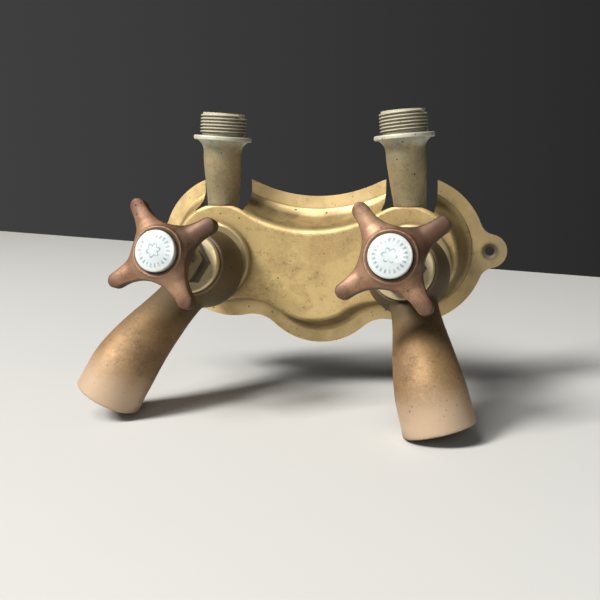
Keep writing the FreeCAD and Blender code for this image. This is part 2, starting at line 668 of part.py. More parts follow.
def bonnet(side):
    """Bonnet: plug, flange, hexagon and threaded neck, bored for the spindle and packing."""
    name = "bonnet_" + side
    tap = tap_frame(side)
    outside = turned(name + "_turning", [
        ("0", "~plug_start"), ("~chamber_r - ~fixed_gap", "~plug_start"),
        ("~chamber_r - ~fixed_gap", "~flange_at"), ("~flange_r", "~flange_at"),
        ("~flange_r", "~flange_at + ~flange_thick - 0.8"),
        ("~flange_r - 0.8", "~flange_at + ~flange_thick"),
        ("~bonnet_neck_r", "~flange_at + ~flange_thick"), ("~bonnet_neck_r", "~bonnet_end"),
        ("0", "~bonnet_end")], tap)
    nut = hexagon(name + "_hexagon", "~bonnet_hex", "~bonnet_hex_end - ~flange_at", tap,
                  "~flange_at")
    solid = fused(name + "_solid", [outside, nut])
    bore = turned(name + "_bore", [
        ("0", "~plug_start - 1"), ("~spindle_thread_r + ~running_gap", "~plug_start - 1"),
        ("~spindle_thread_r + ~running_gap", "~neck_at"),
        ("~spindle_r + ~running_gap", "~neck_at"),
        ("~spindle_r + ~running_gap", "~packing_at"), ("~packing_r + 0.1", "~packing_at"),
        ("~packing_r + 0.1", "~bonnet_end + 1"),
        ("0", "~bonnet_end + 1")], tap)
    return labelled(cut(name, solid, bore), name)


def bonnet_gasket(side):
    """Thin ring that seals the bonnet flange against the barrel."""
    return turned("bonnet_gasket_" + side, [
        ("~chamber_r", "~barrel_end"), ("~barrel_r - 0.1", "~barrel_end"),
        ("~barrel_r - 0.1", "~flange_at"), ("~chamber_r", "~flange_at")], tap_frame(side))


def gland_packing(side):
    """Packing ring squeezed round the spindle."""
    return turned("gland_packing_" + side, [
        ("~spindle_r + ~running_gap", "~packing_at"), ("~packing_r", "~packing_at"),
        ("~packing_r", "~packing_end"), ("~spindle_r + ~running_gap", "~packing_end")],
        tap_frame(side))


def gland_nut(side):
    """Hexagonal cap nut on the bonnet's neck, with the sleeve that presses the packing."""
    name = "gland_nut_" + side
    tap = tap_frame(side)
    outside = hexagon(name + "_hexagon", "~gland_hex", "~gland_end - ~gland_start", tap,
                      "~gland_start")
    crown = turned(name + "_crown", [
        ("0", "~gland_start - 1"), ("~gland_hex / 2 + 1.4", "~gland_start - 1"),
        ("~gland_hex / 2 + 1.4", "~gland_end - 2.4"), ("~gland_hex / 2 - 1.6", "~gland_end"),
        ("0", "~gland_end")], tap)
    domed = DOC.addObject("Part::Common", name + "_domed")
    domed.Base = outside
    domed.Tool = crown
    bore = turned(name + "_bore", [
        ("0", "~gland_start - 1"), ("~bonnet_neck_r + ~fixed_gap", "~gland_start - 1"),
        ("~bonnet_neck_r + ~fixed_gap", "~bonnet_end + 0.3"),
        ("~packing_r - 0.1", "~bonnet_end + 0.3"), ("~packing_r - 0.1", "~packing_end + 0.1"),
        ("~spindle_r + ~running_gap", "~packing_end + 0.1"),
        ("~spindle_r + ~running_gap", "~gland_end + 1"), ("0", "~gland_end + 1")], tap)
    return labelled(cut(name, domed, bore), name)


def spindle(side):
    """Rising spindle: threaded foot, plain stem and a square for the handle."""
    name = "spindle_" + side
    tap = tap_frame(side)
    stem = turned(name + "_turning", [
        ("~jumper_hole_r", "~spindle_start"), ("~spindle_thread_r", "~spindle_start"),
        ("~spindle_thread_r", "~spindle_thread_end"), ("~spindle_r", "~spindle_thread_end + 1"),
        ("~spindle_r", "~handle_rear + 2"), ("0", "~handle_rear + 2"),
        ("0", "~jumper_hole_end"), ("~jumper_hole_r", "~jumper_hole_end")], tap)
    end = block(name + "_square", "~spindle_square", "~spindle_square",
                "~spindle_end - ~handle_rear - 1", handle_frame(side), "~handle_rear + 1")
    whole = fused(name + "_solid", [stem, end])
    tapped = cylinder(name + "_tapping", "1.7", "12", tap, "~spindle_end - 11")
    return labelled(cut(name, whole, tapped), name)


def jumper(side):
    """Jumper valve with its rubber washer and the nut that holds the washer."""
    tap = tap_frame(side)
    plate = turned("jumper_valve_" + side, [
        ("0", "~seat_at - 3.2"), ("~stud_r", "~seat_at - 3.2"),
        ("~stud_r", "~seat_at + ~washer_height"), ("~washer_r + 0.4", "~seat_at + ~washer_height"),
        ("~washer_r + 0.4", "~seat_at + 5"), ("~jumper_stem_r", "~seat_at + 5"),
        ("~jumper_stem_r", "~jumper_stem_end"), ("0", "~jumper_stem_end")], tap)
    rubber = turned("valve_washer_" + side, [
        ("~stud_r + ~fixed_gap", "~seat_at + 0.1"), ("~washer_r", "~seat_at + 0.1"),
        ("~washer_r", "~seat_at + ~washer_height"),
        ("~stud_r + ~fixed_gap", "~seat_at + ~washer_height")], tap)
    name = "washer_nut_" + side
    solid = hexagon(name + "_hexagon", "~stud_nut", "2.4", tap, "~seat_at - 2.3")
    hole = cylinder(name + "_hole", "~stud_r + ~fixed_gap", "4", tap, "~seat_at - 3")
    return [plate, rubber, labelled(cut(name, solid, hole), name)]


# ---------------------------------------------------------------- handle

def handle_frame(side):
    """Spindle frame turned to the handle's rest angle."""
    return turned_about(tap_frame(side), size("handle_turn_" + side))


def handle_outline(z):
    """Cross with four round-ended arms joined by hollow curves."""
    reach, half, waist = size("arm_reach"), size("arm_r"), size("waist_r")
    hollow = (waist - half) / (math.sqrt(2) - 1)
    centre = hollow + half
    tip = reach - half
    edges = []
    for quarter in range(4):
        turn = Rotation(UP, 90 * quarter)

        def spot(x, y):
            return turn.multVec(Vector(x, y, 0)) + Vector(0, 0, z)

        edges.append(Part.Arc(spot(tip, -half), spot(reach, 0), spot(tip, half)).toShape())
        edges.append(Part.makeLine(spot(tip, half), spot(centre, half)))
        nearest = centre - hollow / math.sqrt(2)
        edges.append(Part.Arc(spot(centre, half), spot(nearest, nearest),
                              spot(half, centre)).toShape())
        edges.append(Part.makeLine(spot(half, centre), spot(half, tip)))
    return Part.Wire(edges)


def handle_envelope():
    """Turned envelope that gives the cross its side profile."""
    rear, front = size("handle_rear"), size("handle_front")
    tip, thick = size("arm_tip_at"), size("arm_thick")
    reach = size("arm_reach") + 1
    waist = size("waist_r")
    corners = [(0, rear), (waist * 0.66, rear), (waist * 0.8, rear + 3.2),
               (waist, tip - thick / 2 + 1.2), (reach, tip - thick / 2),
               (reach, tip + thick / 2), (waist + 4.5, tip + thick / 2 + 1.4),
               (waist, front - 1.2), (waist - 0.7, front), (0, front)]
    points = [Vector(radius, 0, height) for radius, height in corners]
    face = Part.Face(Part.makePolygon(points + points[:1]))
    return face.revolve(Vector(0, 0, 0), UP, 360)


def cross_handle(side):
    """Four-armed handle with a square hole, a screw recess and the button's recess."""
    rear = size("handle_rear")
    height = size("handle_front") - rear
    cross = Part.Face(handle_outline(rear)).extrude(Vector(0, 0, height))
    cross = cross.common(handle_envelope())
    hole = size("spindle_square") + 2 * size("fixed_gap")
    square = Part.makeBox(hole, hole, height, Vector(-hole / 2, -hole / 2, rear + 2))
    stem = Part.makeCylinder(size("spindle_r") + size("fixed_gap"), 3, Vector(0, 0, rear - 0.5))
    head = Part.makeCylinder(4.6, height, Vector(0, 0, size("spindle_end") + 0.1))
    recess = Part.makeCylinder(size("button_r") + 0.2, height,
                               Vector(0, 0, size("button_seat_at") - 0.1))
    bezel = Part.makeCone(size("button_r") + 0.2, size("button_r") + 0.2 + size("bezel_width"),
                          size("bezel_depth"),
                          Vector(0, 0, size("handle_front") - size("bezel_depth")))
    cross = cross.cut([square, stem, head, recess, bezel])
    return feature("cross_handle_" + side, cross.removeSplitter(), handle_frame(side))


def handle_screw(side):
    """Slotted cheese-head screw that holds the handle on the spindle."""
    name = "handle_screw_" + side
    tap = tap_frame(side)
    solid = turned(name + "_turning", [
        ("0", "~spindle_end - 9"), ("1.6", "~spindle_end - 9"), ("1.6", "~spindle_end + 0.15"),
        ("4.2", "~spindle_end + 0.15"), ("4.2", "~spindle_end + 2.6"),
        ("0", "~spindle_end + 2.6")], tap)
    slot = block(name + "_slot", "1.0", "10", "2", handle_frame(side), "~spindle_end + 1.5")
    return labelled(cut(name, solid, slot), name)


def index_button(side):
    """Porcelain button with a gently domed face."""
    return turned("index_button_" + side, [
        ("0", "~button_seat_at"), ("~button_r", "~button_seat_at"),
        ("~button_r", "~button_edge_at - 0.5"), ("~button_r - 0.5", "~button_edge_at"),
        ("~button_r * 0.8", "~button_edge_at + ~button_crown * 0.4"),
        ("~button_r * 0.55", "~button_edge_at + ~button_crown * 0.75"),
        ("~button_r * 0.28", "~button_edge_at + ~button_crown * 0.95"),
        ("0", "~button_edge_at + ~button_crown")], tap_frame(side))


# ---------------------------------------------------------------- assembly

def tap_pieces(side):
    """Every piece of one tap."""
    pieces = [inlet_elbow(side), clamp_ring(side), joint_washer(side), valve_body(side),
              spout(side)]
    pieces += spout_washers(side)
    pieces += [bonnet(side), bonnet_gasket(side), gland_packing(side), gland_nut(side),
               spindle(side)]
    pieces += jumper(side)
    pieces += [cross_handle(side), handle_screw(side), index_button(side)]
    return pieces


def check(pieces):
    """Stop if any object failed or any piece is not one valid solid."""
    for thing in DOC.Objects:
        if "Invalid" in thing.State or "Error" in thing.State:
            raise RuntimeError("%s: %s" % (thing.Name, thing.State))
    for piece in pieces:
        shape = piece.Shape
        if shape.isNull() or not shape.isValid() or len(shape.Solids) != 1:
            raise RuntimeError("%s: bad shape, %d solids" % (piece.Label, len(shape.Solids)))


def write(pieces):
    """One STEP file for each piece, named after it."""
    os.makedirs("parts", exist_ok=True)
    for piece in pieces:
        piece.Shape.exportStep("parts/%s.step" % piece.Label)
        box = piece.Shape.BoundBox
        print("%-26s %9.0f mm3  x %6.1f..%6.1f  y %6.1f..%6.1f  z %6.1f..%6.1f" % (
            piece.Label, piece.Shape.Volume, box.XMin, box.XMax, box.YMin, box.YMax,
            box.ZMin, box.ZMax))


fill_sheet()
PIECES = [backplate()]
for SIDE in SIDES:
    PIECES += tap_pieces(SIDE)
DOC.recompute()
check(PIECES)
write(PIECES)
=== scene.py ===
import json
import math

import bmesh
import bpy
from mathutils import Matrix, Quaternion, Vector


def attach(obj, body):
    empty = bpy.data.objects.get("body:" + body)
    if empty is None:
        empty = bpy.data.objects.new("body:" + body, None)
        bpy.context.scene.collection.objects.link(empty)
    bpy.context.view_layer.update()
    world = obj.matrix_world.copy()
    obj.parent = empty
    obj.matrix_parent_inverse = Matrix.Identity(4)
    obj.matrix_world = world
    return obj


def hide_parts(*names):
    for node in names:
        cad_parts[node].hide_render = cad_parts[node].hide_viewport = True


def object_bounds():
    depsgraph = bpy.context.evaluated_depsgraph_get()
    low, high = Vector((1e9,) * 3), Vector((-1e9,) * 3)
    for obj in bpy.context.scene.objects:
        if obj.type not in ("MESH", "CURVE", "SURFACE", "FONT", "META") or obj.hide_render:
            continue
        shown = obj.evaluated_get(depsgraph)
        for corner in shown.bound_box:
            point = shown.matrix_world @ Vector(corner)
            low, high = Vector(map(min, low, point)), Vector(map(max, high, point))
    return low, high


# The looks of an old pair of wall-mounted brass taps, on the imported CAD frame.
# Metres; the wall is the plane y = 0, the front faces -Y, Z is up.

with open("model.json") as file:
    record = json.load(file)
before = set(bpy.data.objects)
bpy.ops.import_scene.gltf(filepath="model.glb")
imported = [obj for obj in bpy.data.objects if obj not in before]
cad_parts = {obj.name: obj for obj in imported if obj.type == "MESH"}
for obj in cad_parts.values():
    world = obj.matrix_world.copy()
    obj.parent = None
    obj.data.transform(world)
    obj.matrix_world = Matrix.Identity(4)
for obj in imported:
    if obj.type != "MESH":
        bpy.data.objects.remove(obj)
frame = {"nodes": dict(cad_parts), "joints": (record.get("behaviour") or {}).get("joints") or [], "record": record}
cad_low, cad_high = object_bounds()

MM = 0.001
SIDES = ("left", "right")
ORIGIN = (0, 0, 0)
ACROSS = (1, 0, 0)
FORWARD = (0, -1, 0)
UP = (0, 0, 1)


def joint(name):
    """The joint of that name in the record."""
    return next(entry for entry in frame["joints"] if entry["name"] == name)


def mount(name):
    """The mount of that name in the record."""
    return next(entry for entry in frame["record"]["mounts"] if entry["name"] == name)


def tap_frame(side):
    """Matrix of one tap: origin where its axis crosses the plate's face, Z forward along it."""
    swivel = joint("spout_swivel_" + side)
    forward = Vector(swivel["axis"]).normalized()
    up = (Vector((0, 0, 1)) - forward * forward.z).normalized()
    across = up.cross(forward)
    matrix = Matrix((across, up, forward)).transposed().to_4x4()
    matrix.translation = Vector(swivel["pos_m"])
    return matrix


# ---------------------------------------------------------------- material tools

class Nodes:
    """A material's node tree, with short names for the nodes that the metals are made of."""

    def __init__(self, name):
        self.material = bpy.data.materials.new(name)
        self.material.use_nodes = True
        self.tree = self.material.node_tree
        self.tree.nodes.clear()
        self.shader = self.add("ShaderNodeBsdfPrincipled")
        output = self.add("ShaderNodeOutputMaterial")
        self.link(self.shader.outputs["BSDF"], output.inputs["Surface"])
        self.place = self.add("ShaderNodeTexCoord").outputs["Object"]

    def add(self, kind):
        return self.tree.nodes.new(kind)

    def link(self, start, end):
        self.tree.links.new(start, end)

    def feed(self, socket, value):
        """Link a socket's output, or set a plain number or colour."""
        if isinstance(value, bpy.types.NodeSocket):
            self.link(value, socket)
        elif isinstance(value, tuple) and len(value) == 3 and socket.type == "RGBA":
            socket.default_value = (*value, 1.0)
        else:
            socket.default_value = value

    def stretched(self, scale, turn=(0, 0, 0)):
        """The object's own coordinates, stretched, for marks that run one way."""
        node = self.add("ShaderNodeMapping")
        node.inputs["Scale"].default_value = scale
        node.inputs["Rotation"].default_value = turn
        self.link(self.place, node.inputs["Vector"])
        return node.outputs["Vector"]

    def noise(self, size, detail=5.0, roughness=0.6, place=None, distortion=0.0):
        """Cloudy noise whose patches are about `size` millimetres across."""
        node = self.add("ShaderNodeTexNoise")
        node.inputs["Scale"].default_value = 1.0 / (size * MM)
        node.inputs["Detail"].default_value = detail
        node.inputs["Roughness"].default_value = roughness
        node.inputs["Distortion"].default_value = distortion
        self.link(place or self.place, node.inputs["Vector"])
        return node.outputs["Fac"]

    def cells(self, size):
        """Distance to scattered points about `size` millimetres apart."""
        node = self.add("ShaderNodeTexVoronoi")
        node.inputs["Scale"].default_value = 1.0 / (size * MM)
        self.link(self.place, node.inputs["Vector"])
        return node.outputs["Distance"]

    def span(self, value, low, high, out_low=0.0, out_high=1.0):
        """Smooth step from out_low at low to out_high at high."""
        node = self.add("ShaderNodeMapRange")
        node.interpolation_type = "SMOOTHSTEP"
        self.feed(node.inputs["Value"], value)
        node.inputs["From Min"].default_value = low
        node.inputs["From Max"].default_value = high
        node.inputs["To Min"].default_value = out_low
        node.inputs["To Max"].default_value = out_high
        return node.outputs["Result"]

    def sums(self, operation, first, second=0.0, clamp=False):
        """One step of arithmetic, held between 0 and 1 if clamped."""
        node = self.add("ShaderNodeMath")
        node.operation = operation
        node.use_clamp = clamp
        self.feed(node.inputs[0], first)
        self.feed(node.inputs[1], second)
        return node.outputs["Value"]

    def mix(self, share, first, second):
        """Colour between first and second; the node keeps its colour sockets after its others."""
        first_colour, second_colour, colour_out = 6, 7, 2
        node = self.add("ShaderNodeMix")
        node.data_type = "RGBA"
        self.feed(node.inputs["Factor"], share)
        self.feed(node.inputs[first_colour], first)
        self.feed(node.inputs[second_colour], second)
        return node.outputs[colour_out]

    def vector(self, operation, first, second, output="Vector"):
        """One step of vector arithmetic."""
        node = self.add("ShaderNodeVectorMath")
        node.operation = operation
        self.feed(node.inputs[0], first)
        self.feed(node.inputs[1], second)
        return node.outputs[output]

    def along(self, origin, direction):
        """Millimetres along a direction from a point of the row frame."""
        offset = self.vector("SUBTRACT", self.place, tuple(origin))
        metres = self.vector("DOT_PRODUCT", offset, tuple(direction), "Value")
        return self.sums("DIVIDE", metres, MM)

    def from_axis(self, origin, direction):
        """Millimetres from a line of the row frame."""
        offset = self.vector("SUBTRACT", self.place, tuple(origin))
        square = self.vector("CROSS_PRODUCT", offset, tuple(direction))
        return self.sums("DIVIDE", self.vector("LENGTH", square, ORIGIN, "Value"), MM)

    def facing(self, direction):
        """1 where the surface faces along a direction of the row frame, -1 where it faces away."""
        normal = self.add("ShaderNodeTexCoord").outputs["Normal"]
        return self.vector("DOT_PRODUCT", normal, tuple(direction), "Value")

    def crevice(self, reach):
        """1 in the open, falling to 0 in a corner narrower than `reach` millimetres."""
        node = self.add("ShaderNodeAmbientOcclusion")
        node.samples = 6
        node.inputs["Distance"].default_value = reach * MM
        return node.outputs["AO"]

    def edges(self, low, high):
        """1 on an outer edge worn bright, 0 on the flat."""
        return self.span(self.add("ShaderNodeNewGeometry").outputs["Pointiness"], low, high)

    def bump(self, height, strength, depth, under=None):
        """Bump of `depth` millimetres on top of another."""
        node = self.add("ShaderNodeBump")
        node.inputs["Strength"].default_value = strength
        node.inputs["Distance"].default_value = depth * MM
        self.feed(node.inputs["Height"], height)
        if under is not None:
            self.link(under, node.inputs["Normal"])
        return node.outputs["Normal"]

    def finish(self, colour, roughness, metallic, normal):
        """Feed the shader and give the material."""
        self.feed(self.shader.inputs["Base Color"], colour)
        self.feed(self.shader.inputs["Roughness"], roughness)
        self.feed(self.shader.inputs["Metallic"], metallic)
        if normal is not None:
            self.link(normal, self.shader.inputs["Normal"])
        return self.material


def old_brass(name, bright, base, dull, dark, rough=0.50, metal=0.62, worn=0.5, pits=1.0,
              coats=()):
    """Old brass: patches of tarnish, mottling, dark pits, dirt and painted shade in corners, bright worn edges.

    Each coat is a function of the nodes that gives (share, colour, metallic) for one more layer.
    """
    nodes = Nodes(name)
    patches = nodes.noise(30, 6.0, 0.62, distortion=0.4)
    mottle = nodes.noise(4.5, 7.0, 0.68)
    grain = nodes.noise(0.9, 4.0, 0.6)
    colour = nodes.mix(nodes.span(patches, 0.36, 0.62), base, dull)
    colour = nodes.mix(nodes.sums("MULTIPLY", nodes.span(mottle, 0.50, 0.78), 0.6), colour, dark)
    colour = nodes.mix(nodes.sums("MULTIPLY", nodes.span(grain, 0.45, 0.75), 0.25), colour, bright)
    metallic = metal
    for coat in coats:
        share, tone, shine = coat(nodes)
        colour = nodes.mix(share, colour, tone)
        change = nodes.sums("MULTIPLY", share, shine - metal)
        metallic = nodes.sums("ADD", metallic, change, True)
    scattered = nodes.span(nodes.cells(6.5), 0.12, 0.05)
    fine = nodes.span(nodes.cells(2.2), 0.19, 0.08)
    chosen = nodes.span(nodes.noise(9, 3.0), 0.50, 0.60)
    pitting = nodes.sums("MAXIMUM", scattered, nodes.sums("MULTIPLY", fine, chosen))
    pitting = nodes.sums("MULTIPLY", pitting, min(1.0, 0.8 * pits))
    colour = nodes.mix(pitting, colour, tuple(0.45 * part for part in dark))
    # Darker in corners and crevices: partly dirt, partly painted shade where less light reaches.
    dirt_and_shade = nodes.sums("MULTIPLY", nodes.span(nodes.crevice(8), 0.92, 0.35), 0.85)
    colour = nodes.mix(dirt_and_shade, colour, dark)
    metallic = nodes.sums("SUBTRACT", metallic, nodes.sums("MULTIPLY", dirt_and_shade, 0.4), True)
    bare = nodes.sums("MULTIPLY", nodes.edges(0.508, 0.56), worn)
    colour = nodes.mix(bare, colour, bright)
    roughness = nodes.span(patches, 0.3, 0.7, rough - 0.06, rough + 0.10)
    roughness = nodes.sums("ADD", roughness, nodes.sums("MULTIPLY", pitting, 0.3))
    roughness = nodes.sums("ADD", roughness, nodes.sums("MULTIPLY", mottle, 0.10))
    roughness = nodes.sums("SUBTRACT", roughness, nodes.sums("MULTIPLY", bare, 0.15))
    scratches = nodes.noise(1.2, 3.0, 0.5, nodes.stretched((1, 1, 14), (0.3, 0.7, 0.2)))
    normal = nodes.bump(mottle, 0.45, 0.16)
    normal = nodes.bump(nodes.span(scratches, 0.55, 0.7), 0.25, 0.03, normal)
    normal = nodes.bump(grain, 0.35, 0.04, normal)
    normal = nodes.bump(nodes.sums("SUBTRACT", 1.0, pitting), 0.7, 0.12, normal)
    return nodes.finish(colour, roughness, metallic, normal)


def thread_oxide(nodes):
    """Grey oxide on the threads and the top of the collar."""
    height = nodes.along(ORIGIN, UP)
    ragged = nodes.sums("ADD", height, nodes.sums("MULTIPLY", nodes.noise(5, 4.0), 6.0))
    return nodes.span(ragged, 60.5, 66.0, 0.0, 0.9), (0.50, 0.49, 0.39), 0.35


def collar_verdigris(nodes):
    """Green crust below the collars and in patches down the pipes."""
    height = nodes.along(ORIGIN, UP)
    near = nodes.span(height, 46, 60, 0.30, 1.0)
    crust = nodes.span(nodes.noise(7, 8.0, 0.72, distortion=0.8), 0.50, 0.64)
    return nodes.sums("MULTIPLY", nodes.sums("MULTIPLY", near, crust), 0.75), (0.15, 0.21, 0.16), 0.1


def cove_tarnish_and_shade(nodes):
    """Darker olive in the plate's cove: partly tarnish, partly painted shade."""
    forward = nodes.along(ORIGIN, FORWARD)
    low = nodes.span(forward, 2.0, 4.5)
    high = nodes.span(forward, 20.5, 17.0)
    cloud = nodes.span(nodes.noise(16, 5.0), 0.35, 0.65, 0.55, 0.95)
    share = nodes.sums("MULTIPLY", nodes.sums("MULTIPLY", low, high), cloud)
    return share, (0.155, 0.112, 0.05), 0.5


def painted_rim_highlight(nodes):
    """Painted highlight on the plate's flat rim, brightest to the left and fading out to the right."""
    forward = nodes.along(ORIGIN, FORWARD)
    cloud = nodes.span(nodes.noise(22, 4.0), 0.30, 0.60, 0.25, 0.95)
    across = nodes.span(nodes.along(ORIGIN, ACROSS), 55.0, 85.0, 1.0, 0.15)
    rim = nodes.span(forward, 3.4, 2.0)
    share = nodes.sums("MULTIPLY", rim, nodes.sums("MULTIPLY", cloud, across))
    return share, (0.78, 0.585, 0.29), 0.62


def darker_to_right_end(nodes):
    """Darker olive that deepens towards the plate's right end."""
    across = nodes.along(ORIGIN, ACROSS)
    ragged = nodes.sums("ADD", across, nodes.sums("MULTIPLY", nodes.noise(14, 5.0), 24.0))
    return nodes.span(ragged, 84.0, 118.0, 0.0, 0.75), (0.17, 0.135, 0.07), 0.5


def hole_dark_rings(nodes):
    """Dark rings round the plate's two screw holes."""
    across = mount("wall_screws")["dims"]["spacing_x_mm"] / 2 * MM
    right = nodes.from_axis((across, 0, 0), FORWARD)
    left = nodes.from_axis((-across, 0, 0), FORWARD)
    closest = nodes.sums("MINIMUM", right, left)
    return nodes.span(closest, 6.2, 3.6, 0.0, 0.9), (0.05, 0.035, 0.02), 0.3


def around_axis(side, near, far, colour, shine, strength=1.0):
    """A coat that fades in from one distance from the tap's axis to another."""
    swivel = joint("spout_swivel_" + side)

    def coat(nodes):
        cloud = nodes.sums("MULTIPLY", nodes.sums("SUBTRACT", nodes.noise(9, 5.0), 0.5), 14.0)
        ragged = nodes.sums("ADD", nodes.from_axis(swivel["pos_m"], swivel["axis"]), cloud)
        return nodes.span(ragged, near, far, 0.0, strength), colour, shine

    return coat


def upper_right_tarnish_and_shade(side, colour):
    """Tarnish and painted shade on the arms that point up and to the right, away from the light."""
    origin = tap_frame(side).translation
    direction = Vector((0.86, 0.0, 0.50))

    def coat(nodes):
        cloud = nodes.sums("MULTIPLY", nodes.sums("SUBTRACT", nodes.noise(7, 6.0), 0.5), 16.0)
        ragged = nodes.sums("ADD", nodes.along(origin, direction), cloud)
        return nodes.span(ragged, 11.0, 27.0, 0.0, 0.85), colour, 0.5

    return coat


def turned_sides_shade(side, colour):
    """A coat of painted shade on the faces that look away from the tap's axis direction."""
    forward = joint("spout_swivel_" + side)["axis"]

    def coat(nodes):
        return nodes.span(nodes.facing(forward), 0.75, 0.25, 0.0, 0.8), colour, 0.4

    return coat


def ahead_of(side, start, end, colour, shine):
    """A coat that fades in forward along the tap's axis."""
    swivel = joint("spout_swivel_" + side)

    def coat(nodes):
        return nodes.span(nodes.along(swivel["pos_m"], swivel["axis"]), start, end), colour, shine

    return coat


def plain_stuff(name, light, deep, rough, size):
    """Fibre, packing or rubber: two tones of one colour with a fine rough skin."""
    nodes = Nodes(name)
    cloud = nodes.noise(size, 6.0)
    fine = nodes.noise(size / 6, 4.0)
    colour = nodes.mix(nodes.span(cloud, 0.35, 0.65), light, deep)
    roughness = nodes.span(fine, 0.3, 0.7, rough - 0.08, rough + 0.08)
    return nodes.finish(colour, roughness, 0.0, nodes.bump(fine, 0.4, 0.05))


def porcelain(name):
    """Glazed white porcelain: worn grey ring of dashes round a small plain rosette, crazing."""
    nodes = Nodes(name)
    plan = nodes.add("ShaderNodeUVMap")
    plan.uv_map = "plan"
    split = nodes.add("ShaderNodeSeparateXYZ")
    nodes.link(plan.outputs["UV"], split.inputs["Vector"])
    across, along = split.outputs["X"], split.outputs["Y"]
    radius = nodes.sums("SQRT", nodes.sums("ADD", nodes.sums("MULTIPLY", across, across),
                                           nodes.sums("MULTIPLY", along, along)))
    angle = nodes.sums("ARCTAN2", along, across)

    def band(value, middle, half, soft):
        """1 where value is within `half` of the middle."""
        away = nodes.sums("ABSOLUTE", nodes.sums("SUBTRACT", value, middle))
        return nodes.span(away, half + soft, half - soft)

    dash_count, ring_radius, ring_half = 22.0, 7.4, 0.95
    dashes = nodes.sums("SINE", nodes.sums("MULTIPLY", angle, dash_count))
    ring = nodes.sums("MULTIPLY", band(radius, ring_radius, ring_half, 0.15),
                      nodes.span(dashes, -0.1, 0.25))
    petals, petal_length, eye_radius, line_half = 6, 1.5, 2.0, 0.42
    wave = nodes.sums("COSINE", nodes.sums("MULTIPLY", angle, petals / 2))
    petal = nodes.sums("MULTIPLY", nodes.sums("ABSOLUTE", wave), petal_length)
    rosette = band(radius, nodes.sums("ADD", petal, eye_radius), line_half, 0.15)
    marks = nodes.sums("MAXIMUM", ring, rosette)
    worn = nodes.span(nodes.noise(1.6, 5.0), 0.34, 0.62, 0.2, 0.8)
    marks = nodes.sums("MULTIPLY", marks, worn)
    cloud = nodes.noise(6, 4.0)
    colour = nodes.mix(nodes.span(cloud, 0.3, 0.7), (0.52, 0.565, 0.555), (0.47, 0.52, 0.52))
    # Greyer towards the button's edge.
    edge_greying = nodes.span(radius, 9.3, 10.5, 0.0, 0.5)
    colour = nodes.mix(edge_greying, colour, (0.42, 0.40, 0.33))
    crazing = nodes.span(nodes.cells(1.8), 0.62, 0.70, 0.0, 0.10)
    colour = nodes.mix(crazing, colour, (0.45, 0.45, 0.42))
    colour = nodes.mix(marks, colour, (0.16, 0.20, 0.23))
    roughness = nodes.span(cloud, 0.3, 0.7, 0.10, 0.20)
    normal = nodes.bump(nodes.noise(3.5, 2.0), 0.10, 0.04)
    nodes.shader.inputs["Coat Weight"].default_value = 0.4
    nodes.shader.inputs["Coat Roughness"].default_value = 0.06
    return nodes.finish(colour, roughness, 0.0, normal)


# ---------------------------------------------------------------- materials

MATERIALS = {
    # The plate's rim coat is a painted highlight.
    "plate_brass": old_brass("plate_brass", (0.76, 0.58, 0.29), (0.55, 0.405, 0.175),
                             (0.40, 0.28, 0.12), (0.13, 0.09, 0.042), 0.46, 0.62, worn=0.0,
                             coats=[painted_rim_highlight, cove_tarnish_and_shade, darker_to_right_end, hole_dark_rings]),
    "pipe_brass": old_brass("pipe_brass", (0.60, 0.50, 0.31), (0.40, 0.31, 0.17),
                            (0.29, 0.235, 0.13), (0.10, 0.08, 0.05), 0.47,
                            coats=[thread_oxide, collar_verdigris]),
    # The ring's dark base is painted shade, for the ring lying in the tap's shadow.
    "ring_brass": old_brass("ring_brass", (0.50, 0.39, 0.20), (0.24, 0.18, 0.085),
                            (0.16, 0.12, 0.06), (0.06, 0.045, 0.025), 0.46),
    # The body's dark base is painted shade, for the hexagon lying in the handle's shadow.
    "body_brass": old_brass("body_brass", (0.34, 0.28, 0.17), (0.15, 0.12, 0.07),
                            (0.10, 0.08, 0.05), (0.04, 0.03, 0.02), 0.50),
    "spindle_brass": old_brass("spindle_brass", (0.60, 0.46, 0.25), (0.40, 0.29, 0.14),
                               (0.28, 0.21, 0.11), (0.10, 0.07, 0.04), 0.40),
    "fibre": plain_stuff("fibre", (0.20, 0.09, 0.05), (0.12, 0.05, 0.03), 0.7, 2.0),
    "packing": plain_stuff("packing", (0.22, 0.19, 0.13), (0.12, 0.10, 0.07), 0.8, 1.0),
    "rubber": plain_stuff("rubber", (0.03, 0.03, 0.03), (0.015, 0.015, 0.015), 0.6, 2.0),
    "porcelain": porcelain("porcelain"),
}
